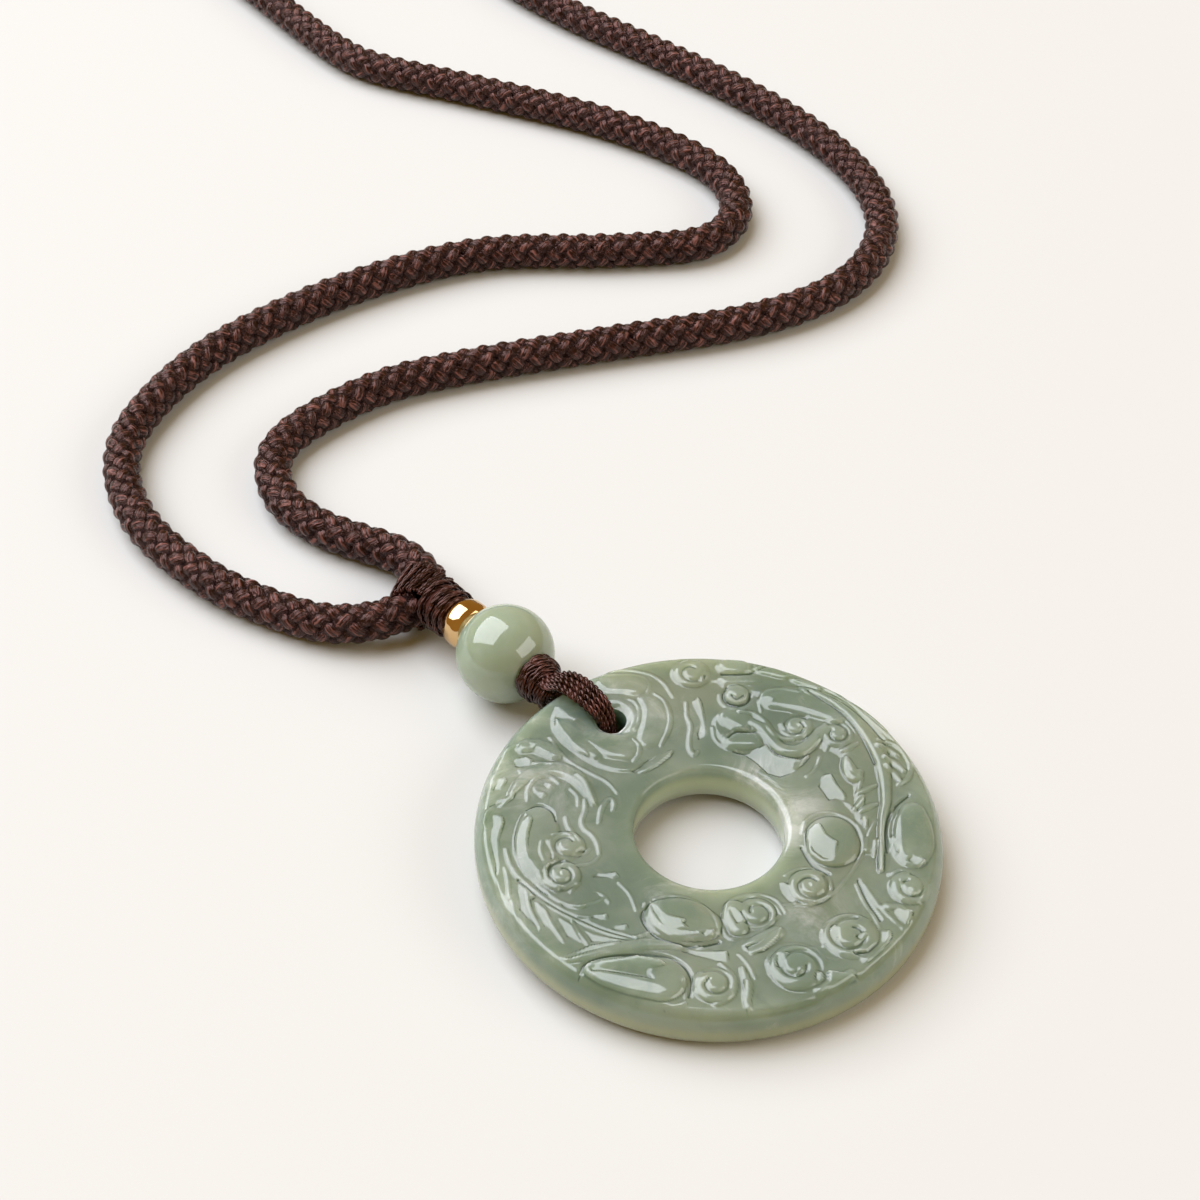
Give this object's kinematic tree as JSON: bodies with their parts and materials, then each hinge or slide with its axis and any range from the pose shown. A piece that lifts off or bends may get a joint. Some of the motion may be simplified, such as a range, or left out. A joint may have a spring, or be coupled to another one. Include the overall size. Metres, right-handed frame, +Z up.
{
  "type": "carved jade disc pendant on a braided neck cord",
  "caption": "Round jade disc with raised carving and a wide centre hole, hung by fine thread through a jade bead and a gold spacer on a whole braided neck cord, lying flat.",
  "frame": {"origin": "on the surface that the pendant lies on, under the middle of the box round the disc, bead, spacer and thread", "axes": "+Z up from the surface and out of the disc's carved face, with the neck cord leading away towards +Y"},
  "size_m": [0.1129, 0.2587, 0.0114],
  "materials": {
    "jade": "polished translucent sage green stone",
    "gold": "polished yellow gold",
    "thread": "waxed dark brown thread",
    "cord": "dark brown round braid"
  },
  "bodies": {
    "root": {"jade_disc": "jade", "jade_bead": "jade", "gold_spacer": "gold", "hanging_thread": "thread", "lower_whipping": "thread", "upper_whipping": "thread", "neck_cord": "cord"}
  },
  "joints": []
}
